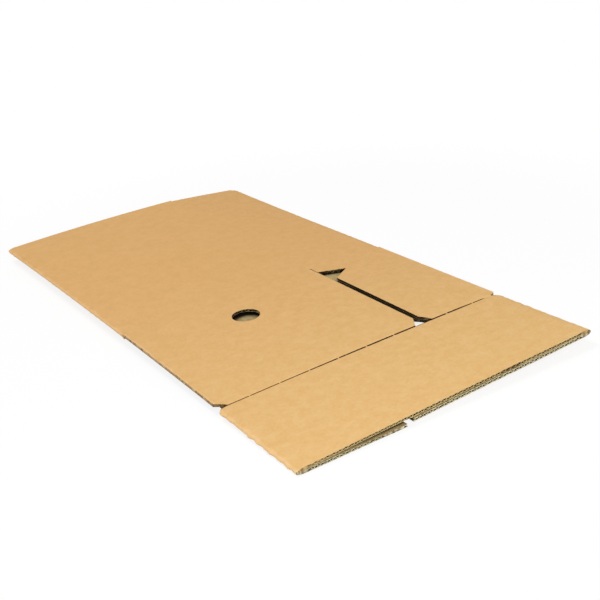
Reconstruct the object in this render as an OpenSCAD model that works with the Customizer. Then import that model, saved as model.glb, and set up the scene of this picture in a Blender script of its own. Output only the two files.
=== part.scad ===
// A corrugated box, knocked down flat: one die-cut, scored and glued sheet, folded into a
// four-panel tube and pressed flat. +X runs across the panels, +Y from the strip to the far
// end, +Z up. The wide lower panel lies on the ground. All sizes are in millimetres.

/* [Box] */
// Width of each wide panel, between its corner creases
wide_w = 240; // [200:1:320]
// Width of each narrow panel, between its corner creases
narrow_w = 100; // [80:1:140]
// Length from the perforated line to the far end
body_l = 572; // [450:1:800]
// Length of the strip in front of the perforated line
strip_l = 136; // [80:1:220]
// How far the narrow panels stop short of the far end
narrow_step = 3; // [1:0.5:8]

/* [Board] */
// Thickness of the corrugated board
board_t = 3.2; // [2.8:0.1:4.5]
// Thickness of each liner
liner_t = 0.45; // [0.3:0.05:0.6]
// Thickness of the fluted paper between the liners
medium_t = 0.4; // [0.3:0.05:0.5]
// Spacing of the flutes
flute_pitch = 6.4; // [5.5:0.1:8.5]
// Length of the flat on each flute's crest
crest_w = 1.28; // [0.9:0.02:1.6]
// Width of the crushed, closed board beside a fold or a corner crease
crush_w = 4; // [2:0.5:8]
// Rounding of the folded edges
fold_r = 1.4; // [0.6:0.2:2.4]

/* [Lie] */
// Clear height between the two sheets above the lower corner crease
sheet_gap = 4.3; // [2:0.1:10]

/* [Flap cuts] */
// Length of the flaps, from the perforated line to the root of their cuts
flap_l = 212; // [205:1:300]
// Width of the slot between two flaps, taken from the narrow flap
slot_w = 7; // [4:0.5:12]
// Distance from the perforated line to the inner bend of the slot's barb
barb_bend = 166; // [100:1:174]
// Distance from the perforated line to the tip of the barb
barb_tip = 183; // [178:1:190]
// Distance from the perforated line to the barb's end at the corner crease
barb_end = 197; // [192:1:203]
// Reach of the barb into the narrow flap, from the corner crease
barb_reach = 31; // [16:1:40]
// Width of a knife cut
knife_w = 0.8; // [0.5:0.1:1.2]
// Width of the chamfer on the wide flaps' corners beside a slot
flap_chamfer = 8.5; // [5:0.5:14]
// Width of the chamfer on the narrow flaps' corners beside a slot
narrow_chamfer = 7.5; // [3:0.5:12]
// Length of those chamfers along the flaps
chamfer_l = 15.5; // [6:0.5:24]
// Chamfer on the strip's corners at the perforated line
strip_chamfer = 3; // [1:0.5:6]

/* [Perforated line] */
// Spacing of the ties that bridge the perforated line
tie_pitch = 34; // [24:1:50]
// Width of each tie
tie_w = 1.6; // [1:0.2:4]
// Notch in the flap corner at the left end of the line
left_notch = 11.5; // [5:0.5:16]
// Notch in the flap corner at the right end of the line
right_notch = 6; // [4:0.5:16]
// Length left uncut at the right end of the line
uncut_w = 19; // [8:1:30]

/* [Holes] */
// Diameter of the finger hole in the upper wide flap
finger_d = 31; // [18:0.5:36]
// Distance from the perforated line to the finger hole's centre
finger_y = 154; // [100:1:170]
// Radius of the thumb notch in the lower wide flap
thumb_r = 34; // [20:1:50]

/* [Glued joint] */
// Width of the glue tab inside the lower sheet
tab_w = 32; // [20:1:40]
// Thickness of the glue tab, pressed flat
tab_t = 1.6; // [1:0.1:1.8]
// Distance from the flap root and from the far end to the ends of the glue tab
tab_inset = 6; // [2:0.5:20]
// Width of the seam between the joined panels
seam_w = 1.5; // [0.8:0.1:3]
// Distance from the corner crease to the gap in the lower strip
strip_gap_x = 12; // [4:1:24]
// Width of the gap in the lower strip
strip_gap_w = 7; // [4:0.5:14]

/* [Hidden] */
$fn = 64;
kraft = [0.86, 0.68, 0.45];
// Overshoot of a cutting tool past the board
past = 1;
flat_w = wide_w + narrow_w;
length = strip_l + body_l;
// Height of the upper sheet's inner face, a straight line between the two folds
gap_run = flat_w - board_t - narrow_w;
function upper_z(x) = board_t + sheet_gap * (flat_w - board_t - x) / gap_run;
// Inner corners of the section: left fold, right fold and lower corner crease
left_in = [board_t, upper_z(board_t)];
right_in = [flat_w - board_t, board_t];
crease_in = [narrow_w, board_t];
// Height of the lower sheet's inner face, and of the middle of the space between the sheets
rise = (left_in.y - board_t) / (narrow_w - board_t);
function lower_z(x) = board_t + max(0, narrow_w - x) * rise;
function middle_z(x) = (upper_z(x) + lower_z(x)) / 2;
top_z = upper_z(0) + board_t + past;
// Slope of the fluted paper, and the half widths of the space on each side of it
flute_run = flute_pitch / 2 - crest_w;
flute_slope = atan2(board_t - 2 * liner_t - medium_t, flute_run);
flute_narrow = crest_w / 2 - medium_t / 2 * tan(flute_slope / 2);
flute_wide = flute_narrow + flute_run;

// Arc that rounds the corner at p between the sides along a and b
function rounded(p, a, b, r) =
    [for (turn = [0 : 30 : 90]) p + r * (1 - sin(turn)) * a + r * (1 - cos(turn)) * b];

// Outline of the flattened tube, folds rounded
module tube_outline() {
    tilt = atan2(left_in.y - right_in.y, right_in.x - left_in.x);
    lower_tilt = atan(rise);
    upper_top = board_t / cos(tilt);
    lower_drop = board_t / cos(lower_tilt);
    left_top = [0, upper_z(0) + upper_top];
    left_bottom = [0, lower_z(0) - lower_drop];
    right_top = [flat_w, upper_z(flat_w) + upper_top];
    right_bottom = [flat_w, 0];
    crease_out = [narrow_w - board_t * tan(lower_tilt / 2), 0];
    up = [0, 1];
    across = [cos(tilt), -sin(tilt)];
    along_narrow = [cos(lower_tilt), -sin(lower_tilt)];
    polygon(concat(
        rounded(left_top, across, -up, fold_r),
        rounded(left_bottom, up, along_narrow, fold_r),
        [crease_out],
        rounded(right_bottom, [-1, 0], up, fold_r),
        rounded(right_top, -up, -across, fold_r)
    ));
}

// Spaces on both sides of the fluted paper, along the board whose inner face runs from a to b
// and whose outer face lies on the side of its left (side 1) or right (side -1)
module flutes(a, b, side) {
    run = norm(b - a);
    along = (b - a) / run;
    out = side * [-along.y, along.x];
    count = floor((run - 2 * crush_w) / flute_pitch);
    start = (run - count * flute_pitch) / 2;
    inner = liner_t;
    outer = board_t - liner_t;
    function at(s, h) = a + s * along + h * out;
    for (i = [0 : count - 1]) {
        s = start + (i + 0.5) * flute_pitch;
        polygon([
            at(s - flute_narrow, inner + medium_t), at(s + flute_narrow, inner + medium_t),
            at(s + flute_wide, outer), at(s - flute_wide, outer)
        ]);
    }
    for (i = [1 : count - 1]) {
        s = start + i * flute_pitch;
        polygon([
            at(s - flute_wide, inner), at(s + flute_wide, inner),
            at(s + flute_narrow, outer - medium_t), at(s - flute_narrow, outer - medium_t)
        ]);
    }
}

// Section of the flattened tube across the flutes
module tube_section() {
    difference() {
        tube_outline();
        polygon([left_in, crease_in, right_in]);
        flutes(left_in, right_in, 1);
        flutes(left_in, crease_in, -1);
        flutes(crease_in, right_in, -1);
    }
}

// Carries a section in X and Z along Y, from y0 to y1
module along_flutes(y0, y1) {
    translate([0, y1, 0]) rotate([90, 0, 0]) linear_extrude(y1 - y0) children();
}

// Section of the upper sheet from x to past the right fold
module upper_right(x) {
    polygon([
        [x, middle_z(x)], right_in, [flat_w + past, right_in.y], [flat_w + past, top_z], [x, top_z]
    ]);
}

// Section of the lower sheet from past the left fold to x
module lower_left(x) {
    polygon([
        [-past, -past], [x, -past], [x, middle_z(x)], left_in, [-past, left_in.y]
    ]);
}

// Section of the lower sheet from x to past the right fold
module lower_right(x) {
    polygon([
        [x, -past], [flat_w + past, -past], [flat_w + past, right_in.y], right_in, [x, middle_z(x)]
    ]);
}

// Slot between a wide flap and a narrow flap, seen from above with the wide flap at left and
// the corner crease at x = 0: flared at the perforated line, barbed at its root, then a knife cut
module flap_slot() {
    polygon([
        [-flap_chamfer, 0], [0, chamfer_l], [0, barb_end], [barb_reach, barb_tip],
        [slot_w, barb_bend], [slot_w, chamfer_l], [slot_w + narrow_chamfer, 0]
    ]);
    translate([-knife_w / 2, barb_end - past]) square([knife_w, flap_l - barb_end + past]);
}

// Cuts through the upper sheet alone
module upper_cuts() {
    floor_z = middle_z(wide_w + barb_reach);
    translate([wide_w, 0, floor_z]) linear_extrude(top_z - floor_z) flap_slot();
    finger_z = middle_z(wide_w / 2 + finger_d / 2);
    translate([wide_w / 2, finger_y, finger_z]) cylinder(d = finger_d, h = top_z - finger_z);
    along_flutes(body_l - narrow_step, body_l + past) upper_right(wide_w);
}

// Cuts through the lower sheet alone
module lower_cuts() {
    crease_top = middle_z(narrow_w + flap_chamfer);
    translate([narrow_w, 0, -past]) mirror([1, 0, 0]) linear_extrude(crease_top + past) flap_slot();
    strip_x = narrow_w + strip_gap_x;
    strip_top = middle_z(strip_x + strip_gap_w);
    translate([strip_x, -strip_l - past, -past]) cube([strip_gap_w, strip_l + past, strip_top + past]);
    thumb_x = narrow_w + wide_w / 2;
    thumb_top = middle_z(thumb_x + thumb_r);
    translate([thumb_x, 0, -past]) intersection() {
        cylinder(r = thumb_r, h = thumb_top + past);
        translate([-thumb_r, 0, 0]) cube([2 * thumb_r, thumb_r, thumb_top + past]);
    }
    along_flutes(body_l - narrow_step, body_l + past) lower_left(narrow_w);
}

// Cuts that free the flaps along the two folds: the upper flap keeps its full width
module fold_cuts() {
    along_flutes(0, flap_l) lower_left(slot_w);
    along_flutes(0, flap_l) lower_right(flat_w - slot_w);
}

// Notch at the end of the perforated line, with the fold at x = 0 and the sheet on its right
module fold_notch(depth) {
    polygon([
        [-past, -strip_chamfer - past], [strip_chamfer, 0], [depth, 0], [-past, depth + past]
    ]);
}

// The perforated line through both sheets: knife cuts with ties between, notched at the folds
module perforated_line() {
    line_end = flat_w - uncut_w;
    count = ceil((line_end - tie_w) / tie_pitch);
    for (i = [0 : count - 1]) {
        x0 = i * tie_pitch + (i > 0 ? tie_w / 2 : 0);
        x1 = min((i + 1) * tie_pitch - tie_w / 2, line_end);
        translate([x0, -knife_w / 2, -past]) cube([x1 - x0, knife_w, top_z + past]);
    }
    translate([0, 0, -past]) linear_extrude(top_z + past) fold_notch(left_notch);
    translate([flat_w, 0, -past]) linear_extrude(top_z + past) mirror([1, 0])
        fold_notch(right_notch);
}

// Glue tab of the narrow lower panel, pressed flat on the inside of the wide one
module glue_tab() {
    root = board_t;
    along_flutes(flap_l + tab_inset, body_l - tab_inset) translate([narrow_w - root, board_t])
        square([root + tab_w, tab_t]);
}

// Outer seam of the glued joint
module seam() {
    translate([narrow_w, flap_l, -past]) cube([seam_w, body_l - flap_l + past, board_t + past]);
}

// The folded sheet, with its origin at the middle of its underside
module folded_box() {
    color(kraft) translate([-flat_w / 2, strip_l - length / 2, 0]) difference() {
        union() {
            along_flutes(-strip_l, body_l) tube_section();
            glue_tab();
        }
        upper_cuts();
        lower_cuts();
        fold_cuts();
        perforated_line();
        seam();
    }
}

folded_box();
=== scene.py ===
"""Dresses the flattened corrugated box: warps and details the folded sheet, and sets the stage."""
import math

import bmesh
import bpy
from mathutils import Matrix, Vector, noise


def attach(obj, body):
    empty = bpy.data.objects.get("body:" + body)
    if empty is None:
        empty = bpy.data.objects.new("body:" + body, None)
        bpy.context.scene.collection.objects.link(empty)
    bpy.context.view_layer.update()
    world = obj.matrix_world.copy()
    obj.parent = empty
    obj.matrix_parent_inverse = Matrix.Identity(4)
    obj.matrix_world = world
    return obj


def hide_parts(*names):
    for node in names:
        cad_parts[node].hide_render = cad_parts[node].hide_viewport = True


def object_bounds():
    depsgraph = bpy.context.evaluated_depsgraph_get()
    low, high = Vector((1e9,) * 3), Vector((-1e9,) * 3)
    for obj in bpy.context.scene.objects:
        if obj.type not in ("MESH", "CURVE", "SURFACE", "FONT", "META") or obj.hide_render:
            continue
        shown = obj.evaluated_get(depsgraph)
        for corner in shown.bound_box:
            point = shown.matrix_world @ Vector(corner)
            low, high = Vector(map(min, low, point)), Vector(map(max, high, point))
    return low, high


bl_info = {
    "name": "Flattened Corrugated Box",
    "version": (1, 0, 0),
    "blender": (4, 5, 0),
    "location": "3D View > Sidebar > Box",
    "description": "Builds a knocked-down box of corrugated board with its warp, liners and raw edges",
    "category": "Add Mesh",
}

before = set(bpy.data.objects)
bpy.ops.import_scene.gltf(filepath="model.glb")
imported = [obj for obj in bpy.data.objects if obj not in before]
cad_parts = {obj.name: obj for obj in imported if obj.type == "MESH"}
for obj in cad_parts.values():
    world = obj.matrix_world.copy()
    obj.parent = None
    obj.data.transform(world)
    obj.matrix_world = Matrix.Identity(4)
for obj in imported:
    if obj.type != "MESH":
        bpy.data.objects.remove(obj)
cad_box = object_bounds()

NODE = "folded_box"
BODY = "root"
MM = 0.001
# Distance in metres below which two points count as one
SAME = 1e-6
# Axes across and along the flutes
ACROSS = 0
ALONG = 1
# Order of the sheet's materials
OUTER = 0
INNER = 1
RAW = 2
RAW_UPPER = 3
# Share of plain white in what the camera sees of the floor beside the box
FLOOR_GLOW = 0.86
# Distances from the middle between which the floor turns to plain white
GLOW_START = 0.36
GLOW_END = 0.62


def srgb(red, green, blue):
    """Linear colour of an sRGB colour given from 0 to 255."""
    shares = [channel / 255 for channel in (red, green, blue)]
    return tuple(c / 12.92 if c < 0.04045 else ((c + 0.055) / 1.055) ** 2.4 for c in shares)


def length(name, default, text):
    """A size in metres, with its default given in millimetres."""
    return bpy.props.FloatProperty(
        name=name, description=text, default=default * MM, unit="LENGTH", precision=5
    )


def colour(name, default, text):
    """A surface colour, with its default given in sRGB from 0 to 255."""
    return bpy.props.FloatVectorProperty(
        name=name, description=text, subtype="COLOR", default=srgb(*default)
    )


def number(name, default, text):
    """A plain number."""
    return bpy.props.FloatProperty(name=name, description=text, default=default)


def angle(name, default, text):
    """An angle in radians, with its default given in degrees."""
    return bpy.props.FloatProperty(
        name=name, description=text, default=math.radians(default), subtype="ANGLE"
    )


def spot_in_space(name, default, text):
    """A place in metres."""
    return bpy.props.FloatVectorProperty(
        name=name, description=text, default=default, subtype="TRANSLATION"
    )


class BoxSheetSettings(bpy.types.PropertyGroup):
    """Sizes and warp of the folded sheet."""
    board: length("Board", 3.2, "Thickness of the corrugated board")
    pitch: length("Flute spacing", 6.4, "Spacing of the flutes")
    narrow: length("Narrow panel", 100, "Width of the narrow panels")
    gap: length("Sheet gap", 4.3, "Clear height between the sheets above the lower corner crease")
    strip: length("Strip", 136, "Length of the strip in front of the perforated line")
    flap: length("Flaps", 212, "Length of the flaps behind the perforated line")
    crest: length("Crest rounding", 0.5, "Rounding of the fluted paper's crests")
    lift: length("Lift", 5.19, "Height that the warp adds at the middle")
    tilt: length("Tilt", 1.5, "Rise from the middle to the far end")
    twist: length("Twist", -5.66, "Rise of the far right corner against the middle")
    bow: length("Bow", -1.71, "Rise of both ends against the middle")
    crown: length("Crown", -2.07, "Rise of both folds against the middle")
    fan: length("Fan", 3.06, "Rise of the right side at both ends")
    pinch: length("Pinch", -1.5, "Rise of both folds at the far end")
    curl: length("Strip curl", 0.6, "Rise of the strip's front edge")
    crush: length("Crush", 0.45, "Depth of the crushed board beside the perforated line")
    crush_reach: length("Crush reach", 5, "Width of the crushed board on each side of the line")
    tie_pitch: length("Tie spacing", 34, "Spacing of the ties that bridge the perforated line")
    uncut: length("Uncut end", 19, "Length left uncut at the right end of the perforated line")
    ripple: length("Fold ripple", 2.6, "Waviness of the folded edges")
    ridge: length("Far ridge", 2.6, "Rise of the upper corner crease at the far end")
    dip: length("Far dip", 2.4, "Drop of the right fold at the far end")
    corner: length("Far corner", 9, "Rounding of the far right corner")
    fold_round: length("Fold rounding", 8.5, "Width over which the board rounds off towards a fold")
    strip_rise: length("Lower strip rise", 2.2, "Rise of the wide lower strip towards the upper one")
    strip_drop: length("Lower strip drop", 1.2, "Drop of the narrow lower strip at its free corner")
    strip_shift: length("Lower strip shift", 5, "Shift of the lower strips' opening to the right")
    notch: length("Right notch", 3, "Depth that wear adds to the notch in the right fold")
    grid: length("Grid", 22, "Spacing of the cuts that let the board bend")


class BoxColourSettings(bpy.types.PropertyGroup):
    """Colours of the board."""
    liner: colour("Liner", (220, 174, 115), "Outer face of the board")
    liner_dark: colour("Liner, dark", (210, 163, 102), "Darker fibre clouds of the outer face")
    # A paler copy of the liner: painted light that brightens the sheet towards the front.
    liner_painted_light: colour("Liner, pale", (223, 184, 127), "Paler outer face of the strip")
    liner_painted_light_clouds: colour("Strip, dark", (214, 170, 105), "Darker fibre clouds of the strip")
    # Painted highlight along the rounded folds and the flaps' left cut edge; also the colour of random pale
    # flecks.
    fold: colour("Fold", (238, 200, 149), "Worn outer face along the folds")
    # Painted shade of the perforated line's knife cuts, paler brown towards the left end.
    cut_painted_shade: colour("Score", (40, 18, 4), "Knife cuts of the perforated line")
    cut_painted_shade_left: colour("Score, left", (116, 66, 20), "Paler left end of the perforated line")
    inner: colour("Inside", (198, 173, 121), "Inner face of the board")
    raw: colour("Raw edge", (158, 134, 86), "Cut edges and fluted paper")
    raw_front: colour("Raw edge, front", (232, 222, 184), "Paler cut edge of the lower strip")
    raw_upper: colour("Raw edge, upper front", (214, 188, 132), "Cut edge of the upper strip")
    # Painted shade on the perforated line's walls and in the flutes of crushed ends and creases.
    slit_painted_shade: colour("Knife cut", (86, 48, 16), "Walls of the perforated line")
    # Painted shade where the flutes or the other sheet close the board in.
    painted_gap_shade: colour("Deep gap", (20, 14, 4), "Board that is closed in by the flutes or the other sheet")


class BoxStageSettings(bpy.types.PropertyGroup):
    """Camera, floor and lights."""
    focal: number("Focal length", 72.22, "Focal length for a frame 36 mm wide")
    place: spot_in_space("Camera place", (-0.5783, -1.1236, 0.5453), "Place of the camera")
    heading: angle("Heading", 29.398, "Turn of the camera from +Y towards +X")
    dip: angle("Dip", 23.796, "Angle at which the camera looks down")
    roll: angle("Roll", 7.670, "Roll of the camera, clockwise")
    floor: length("Floor", 14000, "Width of the floor")
    sky: number("Sky", 0.34, "Strength of the even light from all round")
    key: number("Key light", 27, "Power of the soft light above and behind")
    key_size: length("Key size", 900, "Width of the soft light above and behind")
    key_place: spot_in_space("Key place", (-0.4, 0.75, 2.2), "Place of the light above and behind")
    fill: number("Fill light", 13.5, "Power of the soft light in front")
    fill_size: length("Fill size", 900, "Width of the soft light in front")
    fill_place: spot_in_space("Fill place", (-0.35, -1.35, 0.7), "Place of the soft light in front")


class BoxSettings(bpy.types.PropertyGroup):
    """All settings of the flattened box."""
    sheet: bpy.props.PointerProperty(type=BoxSheetSettings)
    colours: bpy.props.PointerProperty(type=BoxColourSettings)
    stage: bpy.props.PointerProperty(type=BoxStageSettings)


def settings():
    """The add-on's settings in this scene."""
    return bpy.context.scene.flattened_box


class Value:
    """A shader socket that takes part in Python expressions."""

    def __init__(self, shader, socket):
        self.shader = shader
        self.socket = socket

    def math(self, operation, *others):
        inputs = dict(enumerate((self, *others)))
        return self.shader.add("ShaderNodeMath", {"operation": operation}, inputs)

    def __add__(self, other):
        return self.math("ADD", other)

    def __sub__(self, other):
        return self.math("SUBTRACT", other)

    def __mul__(self, other):
        return self.math("MULTIPLY", other)

    def __truediv__(self, other):
        return self.math("DIVIDE", other)

    def __rsub__(self, other):
        return self.shader.add("ShaderNodeMath", {"operation": "SUBTRACT"}, {0: other, 1: self})

    __radd__ = __add__
    __rmul__ = __mul__

    def __abs__(self):
        return self.math("ABSOLUTE")


class Shader:
    """A new material, or the given world, whose nodes are added by calls."""

    def __init__(self, name):
        self.material = bpy.data.materials.new(name) if isinstance(name, str) else name
        self.material.use_nodes = True
        self.tree = self.material.node_tree
        self.tree.nodes.clear()

    def add(self, kind, options=None, inputs=None, output=0):
        """Adds a node: its settings first, then its sockets' values or links. Returns one output."""
        node = self.tree.nodes.new(kind)
        for name, value in (options or {}).items():
            setattr(node, name, value)
        for name, value in (inputs or {}).items():
            if isinstance(value, Value):
                self.tree.links.new(value.socket, node.inputs[name])
            else:
                node.inputs[name].default_value = value
        return Value(self, node.outputs[output]) if node.outputs else None

    def place(self, scale):
        """Object coordinates, stretched."""
        spot = self.add("ShaderNodeTexCoord", output="Object")
        return self.add("ShaderNodeMapping", inputs={"Vector": spot, "Scale": scale})

    def plan(self):
        """X and Y of the object coordinates, in metres."""
        spot = self.add("ShaderNodeTexCoord", output="Object")
        split = self.add("ShaderNodeSeparateXYZ", inputs={"Vector": spot})
        return [Value(self, split.socket.node.outputs[axis]) for axis in ("X", "Y")]

    def noise(self, size, detail, stretch=(1, 1, 1)):
        """Noise with clouds about as large as size, in metres."""
        spot = self.place(stretch)
        return self.add(
            "ShaderNodeTexNoise",
            inputs={"Vector": spot, "Scale": 1 / size, "Detail": detail, "Roughness": 0.6},
        )

    def fade(self, value, start, end):
        """0 at start to 1 at end, smoothly."""
        return self.add(
            "ShaderNodeMapRange", {"interpolation_type": "SMOOTHSTEP"},
            {"Value": value, "From Min": start, "From Max": end},
        )

    def mix(self, factor, first, second):
        """Blend of two colours."""
        return self.add(
            "ShaderNodeMix", {"data_type": "RGBA"},
            {"Factor": factor, 6: rgba(first), 7: rgba(second)}, output=2,
        )

    def shelter(self, reach):
        """1 where a surface lies open within reach, 0 where it is closed in."""
        return self.add("ShaderNodeAmbientOcclusion", {"samples": 8}, {"Distance": reach}, output="AO")

    def finish(self, base, roughness, height, depth):
        """Joins the colour, roughness and relief to a matt surface."""
        relief = self.add(
            "ShaderNodeBump", inputs={"Strength": 1.0, "Distance": depth, "Height": height}
        )
        surface = self.add("ShaderNodeBsdfPrincipled", inputs={
            "Base Color": base, "Roughness": roughness, "Normal": relief, "Specular IOR Level": 0.2,
        })
        self.add("ShaderNodeOutputMaterial", inputs={"Surface": surface})
        return self.material


def rgba(value):
    """A colour with its fourth channel, or a socket as it is."""
    if isinstance(value, Value):
        return value
    return (*value, 1.0)


def shade(tone, share):
    """A colour with only a share of its light."""
    return tuple(channel * share for channel in tone)


def flute_wave(x, sheet):
    """A wave from -1 to 1 with the spacing of the flutes."""
    return (x * (2 * math.pi / sheet.pitch)).math("SINE")


def knife_line(shader, run, off, sheet):
    """1 on the cuts of the perforated line, where their painted shade goes: bridged by ties, thinner at
    both ends, none at the right.
    """
    thin = 0.7 * MM
    extra = 0.6 * MM
    wide = thin + shader.fade(run, 60 * MM, 200 * MM) * extra - shader.fade(run, 280 * MM, 320 * MM) * extra
    cut = 1 - shader.fade(abs(off) / wide, 0.85, 1.15)
    from_tie = abs((run / sheet.tie_pitch + 0.5).math("FRACT") - 0.5) * sheet.tie_pitch
    end = cad_box[1].x - cad_box[0].x - sheet.uncut
    return cut * shader.fade(from_tie, 0.4 * MM, 1.1 * MM) * shader.fade(run, end + MM, end)


def liner_material():
    """Outer kraft liner: cloudy fibres, faint flute lines, painted light that pales it towards the front, a
    painted highlight along the folds and the perforated line's painted shade.
    """
    sheet = settings().sheet
    tone = settings().colours
    low, high = cad_box
    line = low.y + sheet.strip
    shader = Shader("kraft_liner")
    x, y = shader.plan()
    clouds = shader.noise(size=11 * MM, detail=4)
    fibres = shader.noise(size=3 * MM, detail=3)
    specks = shader.noise(size=1.1 * MM, detail=2)
    mottle = shader.fade(clouds * 0.5 + fibres * 0.35 + specks * 0.15, 0.3, 0.7)
    base = shader.mix(mottle, tone.liner_dark, tone.liner)
    # Painted light: the paler copy fades in from far behind the line to the front edge.
    strip = shader.mix(mottle, tone.liner_painted_light_clouds, tone.liner_painted_light)
    painted_light_reach = 340 * MM
    base = shader.mix(shader.fade(y, line + painted_light_reach, low.y), base, strip)
    flecks = shader.noise(size=3.5 * MM, detail=2, stretch=(1, 1.8, 1))
    fleck_share = 0.5
    base = shader.mix(shader.fade(flecks, 0.68, 0.76) * fleck_share, base, tone.fold)
    # Painted highlight: a pale band along both folds, where light falls on the rounded edge.
    highlight_wander = 6 * MM
    fold_highlight_share = 0.4
    border = abs(x) + (clouds - 0.5) * highlight_wander
    worn = shader.fade(border, high.x - 3 * MM, high.x - 0.3 * MM)
    base = shader.mix(worn * fold_highlight_share, base, tone.fold)
    run = x - low.x
    # Painted shade: the perforated line's cuts painted dark on the face, paler brown towards the left.
    painted_cut_shade = shader.mix(shader.fade(run, 30 * MM, 160 * MM), tone.cut_painted_shade_left, tone.cut_painted_shade)
    base = shader.mix(knife_line(shader, run, y - line, sheet), base, painted_cut_shade)
    height = fibres * 0.5 + specks * 0.25 + flute_wave(x, sheet) * 0.1
    rough = 0.78 + clouds * 0.15
    return shader.finish(base, rough, height, depth=0.12 * MM)


def inner_material():
    """Inner liner: greyer, with the flutes' glue lines, and painted shade where the other sheet closes it
    in, lighter towards the open front.
    """
    sheet = settings().sheet
    tone = settings().colours
    front_edge = cad_box[0].y
    shader = Shader("kraft_inside")
    x, y = shader.plan()
    clouds = shader.noise(size=12 * MM, detail=4)
    fibres = shader.noise(size=2 * MM, detail=3, stretch=(0.35, 1, 1))
    glue = flute_wave(x, sheet) * 0.05
    mottle = shader.fade(clouds * 0.6 + fibres * 0.4 + glue, 0.36, 0.62)
    base = shader.mix(mottle, shade(tone.inner, 0.78), tone.inner)
    # Where the inner face counts as lit and is spared the painted shade: a wedge behind the front edge,
    # deeper at the left, and the open mouth.
    left_reach = 6 * MM
    right_loss = 3.8 * MM
    reach = left_reach - shader.fade(x, -60 * MM, 40 * MM) * right_loss
    front = 1 - shader.fade((y - front_edge) / reach, 0.15, 1)
    mouth = 1 - shader.fade(y, front_edge + 20 * MM, front_edge + 50 * MM)
    lit = front * 0.67 + mouth * 0.18
    # Painted shade: closed-in inner face turns dark, except where lit.
    free_of_painted_shade = shader.fade(shader.shelter(reach=45 * MM), 0.34, 0.95).math("MAXIMUM", lit)
    base = shader.mix(free_of_painted_shade, tone.painted_gap_shade, base)
    rough = 0.8 + clouds * 0.12
    return shader.finish(base, rough, fibres, depth=0.1 * MM)


def raw_material(name, edge, crease):
    """Raw edge and fluted paper: rough and unevenly dark, with an edge colour, painted shade at the
    perforated line, the crushed crease and fold ends and where the board is closed in, and a painted
    highlight on the flaps' left cut edge.
    """
    sheet = settings().sheet
    tone = settings().colours
    low, high = cad_box
    line = low.y + sheet.strip
    shader = Shader(name)
    x, y = shader.plan()
    clouds = shader.noise(size=8 * MM, detail=3)
    fibres = shader.noise(size=0.7 * MM, detail=3)
    mottle = shader.fade(clouds * 0.5 + fibres * 0.5, 0.35, 0.65)
    base = shader.mix(mottle, shade(tone.raw, 0.62), tone.raw)
    # Painted shade on the walls of the perforated line.
    by_line = 1 - shader.fade(abs(y - line), 0.8 * MM, 2 * MM)
    base = shader.mix(by_line, base, tone.slit_painted_shade)
    # Painted highlight: the flaps' left cut edge takes the folds' pale colour and is spared the painted
    # shade below.
    left_edge = 1 - shader.fade(x, low.x + 2 * MM, low.x + 5 * MM)
    left_edge = left_edge * shader.fade(y, line + 10 * MM, line + 16 * MM)
    fold_highlight_share = 0.9
    base = shader.mix(left_edge * fold_highlight_share, base, tone.fold)
    front = 1 - shader.fade(y, low.y + 0.4 * MM, low.y + 1.6 * MM)
    pale = shader.mix(shader.fade(fibres, 0.25, 0.55), tone.raw, edge)
    base = shader.mix(front, base, pale)
    # Painted shade: dark flute dashes at the crushed fold ends and creases.
    crushed = shader.fade(abs(x), high.x - 16 * MM, high.x - 12 * MM)
    crushed = crushed.math("MAXIMUM", 1 - shader.fade(abs(x - crease), 9 * MM, 13 * MM))
    dashes = flute_wave(x, sheet) * 0.5 + (fibres - 0.5) * 4 + (clouds - 0.5) * 3
    painted_flute_shade = 0.3 + shader.fade(dashes, -0.2, 0.6) * 0.5
    base = shader.mix(crushed * painted_flute_shade, base, tone.slit_painted_shade)
    specks = shader.fade(shader.noise(size=1.4 * MM, detail=2), 0.6, 0.68)
    speck_share = 0.7
    base = shader.mix(specks * (1 - front) * speck_share, base, tone.raw_front)
    # Painted shade: closed-in raw board turns dark; the front cut edge and the left edge are spared.
    lit = (front * 0.8).math("MAXIMUM", left_edge)
    free_of_painted_shade = shader.fade(shader.shelter(reach=12 * MM), 0.2, 0.8).math("MAXIMUM", lit)
    base = shader.mix(free_of_painted_shade, tone.painted_gap_shade, base)
    rough = 0.85 + fibres * 0.1
    return shader.finish(base, rough, fibres, depth=0.15 * MM)


def ease(value, start, end):
    """0 at start to 1 at end, smoothly."""
    t = min(max((value - start) / (end - start), 0.0), 1.0)
    return t * t * (3 - 2 * t)


class Section:
    """Heights of the flat source across the panels, with x from the left fold."""

    def __init__(self, sheet):
        self.board = sheet.board
        self.width = cad_box[1].x - cad_box[0].x
        self.narrow = sheet.narrow
        self.opening = sheet.narrow + 5 * sheet.board
        self.slope = sheet.gap / (self.width - sheet.board - sheet.narrow)
        self.rise = (self.upper(sheet.board) - sheet.board) / (sheet.narrow - sheet.board)

    def upper(self, x):
        """Inner face of the upper sheet."""
        return self.board + self.slope * (self.width - self.board - x)

    def lower(self, x):
        """Inner face of the lower sheet."""
        return self.board + max(0.0, self.narrow - x) * self.rise

    def is_lower(self, x, z):
        """Whether a point belongs to the lower sheet."""
        return z < (self.upper(x) + self.lower(x)) / 2


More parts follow.
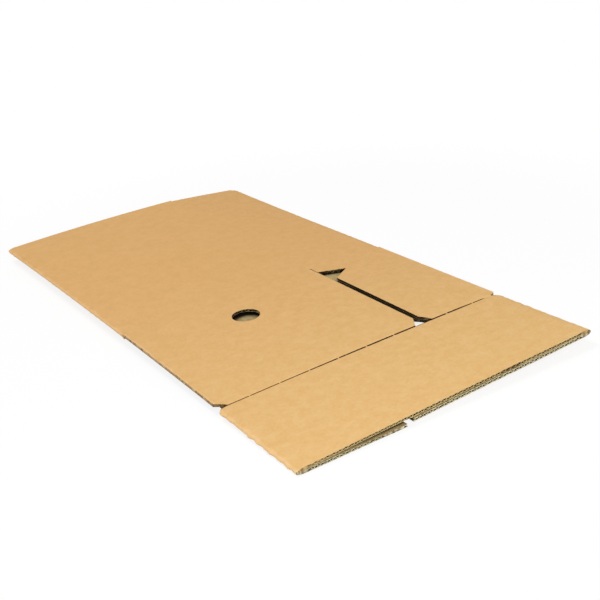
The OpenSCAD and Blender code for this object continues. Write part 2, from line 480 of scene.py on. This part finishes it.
def face_role(face, section, sheet):
    """Material of a face of the flat source: outer liner, inner liner, or raw edge and flutes."""
    near = 0.15 * MM
    spot = face.calc_center_median()
    x = spot.x - cad_box[0].x
    faces_up = face.normal.z > 0.5
    faces_down = face.normal.z < -0.5
    upper = section.upper(x)
    lower = section.lower(x)
    if faces_up and abs(spot.z - upper - section.board) < near:
        return OUTER
    if faces_down and abs(spot.z - lower + section.board) < near:
        return OUTER
    at_fold = min(x, section.width - x) < 0.5 * section.board
    in_flap = 0 < spot.y - cad_box[0].y - sheet.strip < sheet.flap
    if at_fold and abs(face.normal.y) < 0.1 and abs(face.normal.x) > 0.02:
        return RAW if in_flap else OUTER
    if faces_down and abs(spot.z - upper) < near:
        return INNER
    if faces_up and lower - near < spot.z < lower + 0.6 * section.board:
        return INNER
    return RAW


def along_flutes(edge):
    """Whether an edge runs along the flutes."""
    span = edge.verts[1].co - edge.verts[0].co
    return abs(span.y) > 0.999 * span.length


def round_crests(mesh, size):
    """Rounds the crests of the fluted paper, which the source draws as flats and slopes."""
    flattest = math.radians(30)
    sharpest = math.radians(70)
    crests = []
    for edge in mesh.edges:
        if len(edge.link_faces) != 2 or not along_flutes(edge):
            continue
        if any(face.material_index != RAW for face in edge.link_faces):
            continue
        if flattest < edge.calc_face_angle() < sharpest:
            crests.append(edge)
    bmesh.ops.bevel(
        mesh, geom=crests, offset=size, offset_type="OFFSET", affect="EDGES",
        segments=2, profile=0.5, material=-1, clamp_overlap=True,
    )


def spans(face, axis, place):
    """Whether a face has points on both sides of a place."""
    spread = [vert.co[axis] for vert in face.verts]
    return min(spread) < place < max(spread)


def is_end(face):
    """Whether a face lies square to the flutes, as at a cut edge."""
    first = face.verts[0].co.y
    return all(abs(vert.co.y - first) < SAME for vert in face.verts)


def is_any(face):
    """Every face."""
    return True


def slice_board(mesh, axis, places, wanted):
    """Cuts the wanted faces across an axis at the places."""
    normal = Vector((axis == ACROSS, axis == ALONG, 0))
    for place in places:
        faces = [face for face in mesh.faces if wanted(face) and spans(face, axis, place)]
        edges = dict.fromkeys(edge for face in faces for edge in face.edges)
        verts = dict.fromkeys(vert for face in faces for vert in face.verts)
        bmesh.ops.bisect_plane(
            mesh, geom=[*verts, *edges, *faces], dist=SAME, plane_co=normal * place, plane_no=normal
        )


def steps(low, high, spacing):
    """Even places between two limits."""
    count = round((high - low) / spacing)
    return [low + (high - low) * i / count for i in range(1, count)]


def cut_board(mesh, sheet):
    """Cuts the board into faces small enough to bend, closer at the folds and beside the line."""
    low, high = cad_box
    line = low.y + sheet.strip
    rounds = [sheet.fold_round * share for share in (0.1, 0.25, 0.45, 0.7, 1)]
    folds = [low.x + inset for inset in rounds] + [high.x - inset for inset in rounds]
    by_line = [line + sheet.crush_reach * share for share in (-1, -0.6, -0.25, 0.25, 0.6, 1)]
    near_fold = high.x - 1.5 * sheet.fold_round
    slice_board(mesh, ACROSS, steps(low.x, high.x, sheet.pitch), is_end)
    slice_board(mesh, ACROSS, steps(low.x, high.x, sheet.grid), lambda face: face.material_index != RAW)
    slice_board(mesh, ACROSS, folds, lambda face: face.material_index != INNER)
    slice_board(
        mesh, ALONG, steps(low.y, high.y, sheet.grid / 5),
        lambda face: face.material_index == OUTER and abs(face.calc_center_median().x) > near_fold,
    )
    slice_board(mesh, ALONG, by_line, lambda face: face.material_index == OUTER)
    slice_board(mesh, ALONG, steps(low.y, high.y, sheet.grid), is_any)
    many = [face for face in mesh.faces if len(face.verts) > 4]
    bmesh.ops.triangulate(mesh, faces=many, quad_method="BEAUTY", ngon_method="BEAUTY")


def warp_height(sheet, x, y):
    """Rise of the sheet at a place, from its lift, twist, bow and curl."""
    low, high = cad_box
    across = (x - (low.x + high.x) / 2) / ((high.x - low.x) / 2)
    along = (y - (low.y + high.y) / 2) / ((high.y - low.y) / 2)
    front = max(0.0, (low.y + sheet.strip - y) / sheet.strip)
    rise = sheet.lift + sheet.tilt * along + sheet.twist * across * along
    rise += sheet.bow * along ** 2 + sheet.crown * across ** 2
    rise += sheet.fan * across * along ** 2 + sheet.pinch * across ** 2 * along
    return rise + sheet.curl * front ** 2


def far_rise(sheet, x, y):
    """Rise of the far end: a ridge at the upper corner crease that drops to a dip at the right fold."""
    low, high = cad_box
    far = ease(y, low.y + sheet.strip + sheet.flap, high.y)
    crease = high.x - sheet.narrow
    if x < crease:
        return sheet.ridge * far * (x - low.x) / (crease - low.x)
    return far * (sheet.ridge - (sheet.ridge + sheet.dip) * (x - crease) / sheet.narrow)


def strip_hang(sheet, section, across, front):
    """Rise of the wide lower strip or drop of the narrow one, by the share of the way to the front."""
    if across > section.opening:
        closed = section.width - 2 * sheet.board
        return sheet.strip_rise * front * (1 - ease(across, sheet.narrow, closed))
    return -sheet.strip_drop * across / section.opening * front


def fold_ripple(sheet, x, y, half):
    """Outward waviness of the folded edges, stronger in front of the perforated line."""
    side = math.copysign(7, x)
    wave = 0.15 * noise.noise((y * 38, side, 0)) + 0.6 * noise.noise((y * 140, side, 3))
    worn = 1 if y < cad_box[0].y + sheet.strip else 0.4
    fold = ease(abs(x), half - 4 * sheet.board, half)
    return math.copysign(sheet.ripple * fold * worn * (wave - 0.4), x)


def shape_board(mesh, sheet, section):
    """Moves the flat board's points: strip, crushed line, wavy folds and the warp of the whole sheet."""
    low, high = cad_box
    line = low.y + sheet.strip
    half = section.width / 2
    shift_reach = 8 * sheet.board
    fold_thin = 0.12
    rounding = Vector((sheet.corner, sheet.corner))
    for vert in mesh.verts:
        x, y, z = vert.co
        across = x - low.x
        lower = section.is_lower(across, z)
        in_flap = 0 < y - line < sheet.flap
        hang = strip_hang(sheet, section, across, max(0.0, (line - y) / sheet.strip))
        if lower:
            z += hang
        if lower and y < line:
            beside = abs(across - section.opening) / shift_reach
            x += sheet.strip_shift * (1 - ease(beside, 0.2, 1))
        inset = half - abs(x)
        if inset < sheet.fold_round and not in_flap:
            middle = (section.upper(across) + section.lower(across)) / 2
            flat = 1 - inset / sheet.fold_round
            z = middle + (z - middle) * (fold_thin + (1 - fold_thin) * math.sqrt(1 - flat * flat))
        if not lower and z > section.upper(across) + 0.8 * section.board:
            z -= sheet.crush * (1 - ease(abs(y - line), 0, sheet.crush_reach))
        if not in_flap:
            x += fold_ripple(sheet, x, y, half)
        if y < line + sheet.board / 2:
            corner = 1 - ease(line - y, 0, 2 * sheet.board)
            x -= sheet.notch * corner * ease(x, half - 4 * sheet.board, half - sheet.board)
        rise = warp_height(sheet, x, y) + far_rise(sheet, x, y)
        z += rise
        # The ground presses the lowest places flat
        top = section.upper(across) + section.board + rise
        bottom = section.lower(across) - section.board + hang + rise
        if bottom < 0:
            z = top - (top - z) * top / (top - bottom)
        # The far right corner is rounded
        out = Vector((x, y)) - high.xy + rounding
        if min(out) > 0:
            pull = (1 - max(out) / out.length) * out
            x -= pull.x
            y -= pull.y
        vert.co = (x, y, z)
    floor = min(vert.co.z for vert in mesh.verts)
    bmesh.ops.translate(mesh, verts=mesh.verts, vec=(0, 0, -floor))


class BOX_OT_sheet(bpy.types.Operator):
    """Builds the folded sheet from the fixed part, with rounded flutes, crushed lines and its warp"""
    bl_idname = "flattened_box.sheet"
    bl_label = "Folded Sheet"

    def execute(self, context):
        sheet = settings().sheet
        tone = settings().colours
        section = Section(sheet)
        low, high = cad_box
        mesh = bmesh.new()
        mesh.from_mesh(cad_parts[NODE].data)
        bmesh.ops.remove_doubles(mesh, verts=mesh.verts, dist=SAME)
        bmesh.ops.dissolve_limit(
            mesh, angle_limit=math.radians(0.4), verts=mesh.verts, edges=mesh.edges, delimit=set()
        )
        slice_board(mesh, ALONG, [low.y + sheet.strip + sheet.flap], is_any)
        for face in mesh.faces:
            face.material_index = face_role(face, section, sheet)
        round_crests(mesh, sheet.crest)
        cut_board(mesh, sheet)
        for face in mesh.faces:
            spot = face.calc_center_median()
            if face.material_index == RAW and not section.is_lower(spot.x - low.x, spot.z):
                face.material_index = RAW_UPPER
        shape_board(mesh, sheet, section)
        data = bpy.data.meshes.new("folded_sheet")
        mesh.to_mesh(data)
        mesh.free()
        data.materials.append(liner_material())
        data.materials.append(inner_material())
        data.materials.append(raw_material("raw_edge", tone.raw_front, low.x + sheet.narrow))
        data.materials.append(raw_material("raw_edge_upper", tone.raw_upper, high.x - sheet.narrow))
        data.shade_smooth()
        data.set_sharp_from_angle(angle=math.radians(32))
        piece = bpy.data.objects.new("folded_sheet", data)
        context.scene.collection.objects.link(piece)
        even = piece.modifiers.new("even_shading", "WEIGHTED_NORMAL")
        even.mode = "FACE_AREA"
        even.keep_sharp = True
        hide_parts(NODE)
        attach(piece, BODY)
        return {"FINISHED"}


def camera_turn(stage):
    """Rotation of the camera from its heading, dip and roll."""
    ahead = Vector((
        math.sin(stage.heading) * math.cos(stage.dip),
        math.cos(stage.heading) * math.cos(stage.dip),
        -math.sin(stage.dip),
    ))
    level = Vector((math.cos(stage.heading), -math.sin(stage.heading), 0))
    down = ahead.cross(level)
    right = math.cos(stage.roll) * level + math.sin(stage.roll) * down
    below = math.cos(stage.roll) * down - math.sin(stage.roll) * level
    return Matrix((right, -below, -ahead)).transposed()


def seen_rays(shader):
    """1 for rays that show a surface to the camera: straight, mirrored or through glass."""
    kinds = ("Is Camera Ray", "Is Glossy Ray", "Is Transmission Ray")
    camera, glossy, through = [shader.add("ShaderNodeLightPath", output=kind) for kind in kinds]
    return camera.math("MAXIMUM", glossy).math("MAXIMUM", through)


def floor_material():
    """Pale floor that the camera sees as white and that keeps the shadow."""
    shader = Shader("pale_floor")
    x, y = shader.plan()
    away = shader.fade((x * x + y * y).math("SQRT"), GLOW_START, GLOW_END)
    matt = shader.add("ShaderNodeBsdfDiffuse", inputs={"Color": (0.94, 0.94, 0.94, 1)})
    white = shader.add("ShaderNodeEmission", inputs={"Color": (1, 1, 1, 1), "Strength": 1.0})
    share = seen_rays(shader) * (FLOOR_GLOW + away * (1 - FLOOR_GLOW))
    both = shader.add("ShaderNodeMixShader", inputs={0: share, 1: matt, 2: white})
    shader.add("ShaderNodeOutputMaterial", inputs={"Surface": both})
    return shader.material


def soft_light(name, power, size, place):
    """A square soft light that faces the middle of the box."""
    lamp = bpy.data.lights.new(name, "AREA")
    lamp.energy = power
    lamp.size = size
    light = bpy.data.objects.new(name, lamp)
    spot = Vector(place)
    light.matrix_world = Matrix.LocRotScale(spot, (-spot).to_track_quat("-Z", "Y"), None)
    bpy.context.scene.collection.objects.link(light)


class BOX_OT_stage(bpy.types.Operator):
    """Sets the camera, the pale floor and the soft light"""
    bl_idname = "flattened_box.stage"
    bl_label = "Stage"

    def execute(self, context):
        stage = settings().stage
        scene = context.scene
        lens = bpy.data.cameras.new("camera")
        lens.sensor_width = 36
        lens.sensor_fit = "HORIZONTAL"
        lens.lens = stage.focal
        lens.clip_end = 50
        camera = bpy.data.objects.new("camera", lens)
        camera.matrix_world = Matrix.LocRotScale(Vector(stage.place), camera_turn(stage), None)
        scene.collection.objects.link(camera)
        scene.camera = camera
        mesh = bmesh.new()
        bmesh.ops.create_grid(mesh, x_segments=1, y_segments=1, size=stage.floor / 2)
        data = bpy.data.meshes.new("floor")
        mesh.to_mesh(data)
        mesh.free()
        data.materials.append(floor_material())
        floor = bpy.data.objects.new("floor", data)
        scene.collection.objects.link(floor)
        soft_light("key", stage.key, stage.key_size, stage.key_place)
        soft_light("fill", stage.fill, stage.fill_size, stage.fill_place)
        scene.world = bpy.data.worlds.new("studio")
        studio = Shader(scene.world)
        level = stage.sky + seen_rays(studio) * (1 - stage.sky)
        sky = studio.add("ShaderNodeBackground", inputs={"Color": (1, 1, 1, 1), "Strength": level})
        studio.add("ShaderNodeOutputWorld", inputs={"Surface": sky})
        scene.view_settings.view_transform = "Standard"
        return {"FINISHED"}


class BOX_PT_panel(bpy.types.Panel):
    """Lists the box's builders"""
    bl_label = "Flattened Box"
    bl_space_type = "VIEW_3D"
    bl_region_type = "UI"
    bl_category = "Box"

    def draw(self, context):
        for operator in (BOX_OT_sheet, BOX_OT_stage):
            self.layout.operator(operator.bl_idname)


CLASSES = (
    BoxSheetSettings, BoxColourSettings, BoxStageSettings, BoxSettings,
    BOX_OT_sheet, BOX_OT_stage, BOX_PT_panel,
)


def register():
    """Registers the classes and the settings."""
    for item in CLASSES:
        bpy.utils.register_class(item)
    bpy.types.Scene.flattened_box = bpy.props.PointerProperty(type=BoxSettings)


def unregister():
    """Removes the settings and the classes."""
    del bpy.types.Scene.flattened_box
    for item in reversed(CLASSES):
        bpy.utils.unregister_class(item)


def main():
    """Builds the box and its stage."""
    register()
    bpy.ops.flattened_box.sheet()
    bpy.ops.flattened_box.stage()


if __name__ == "__main__":
    main()
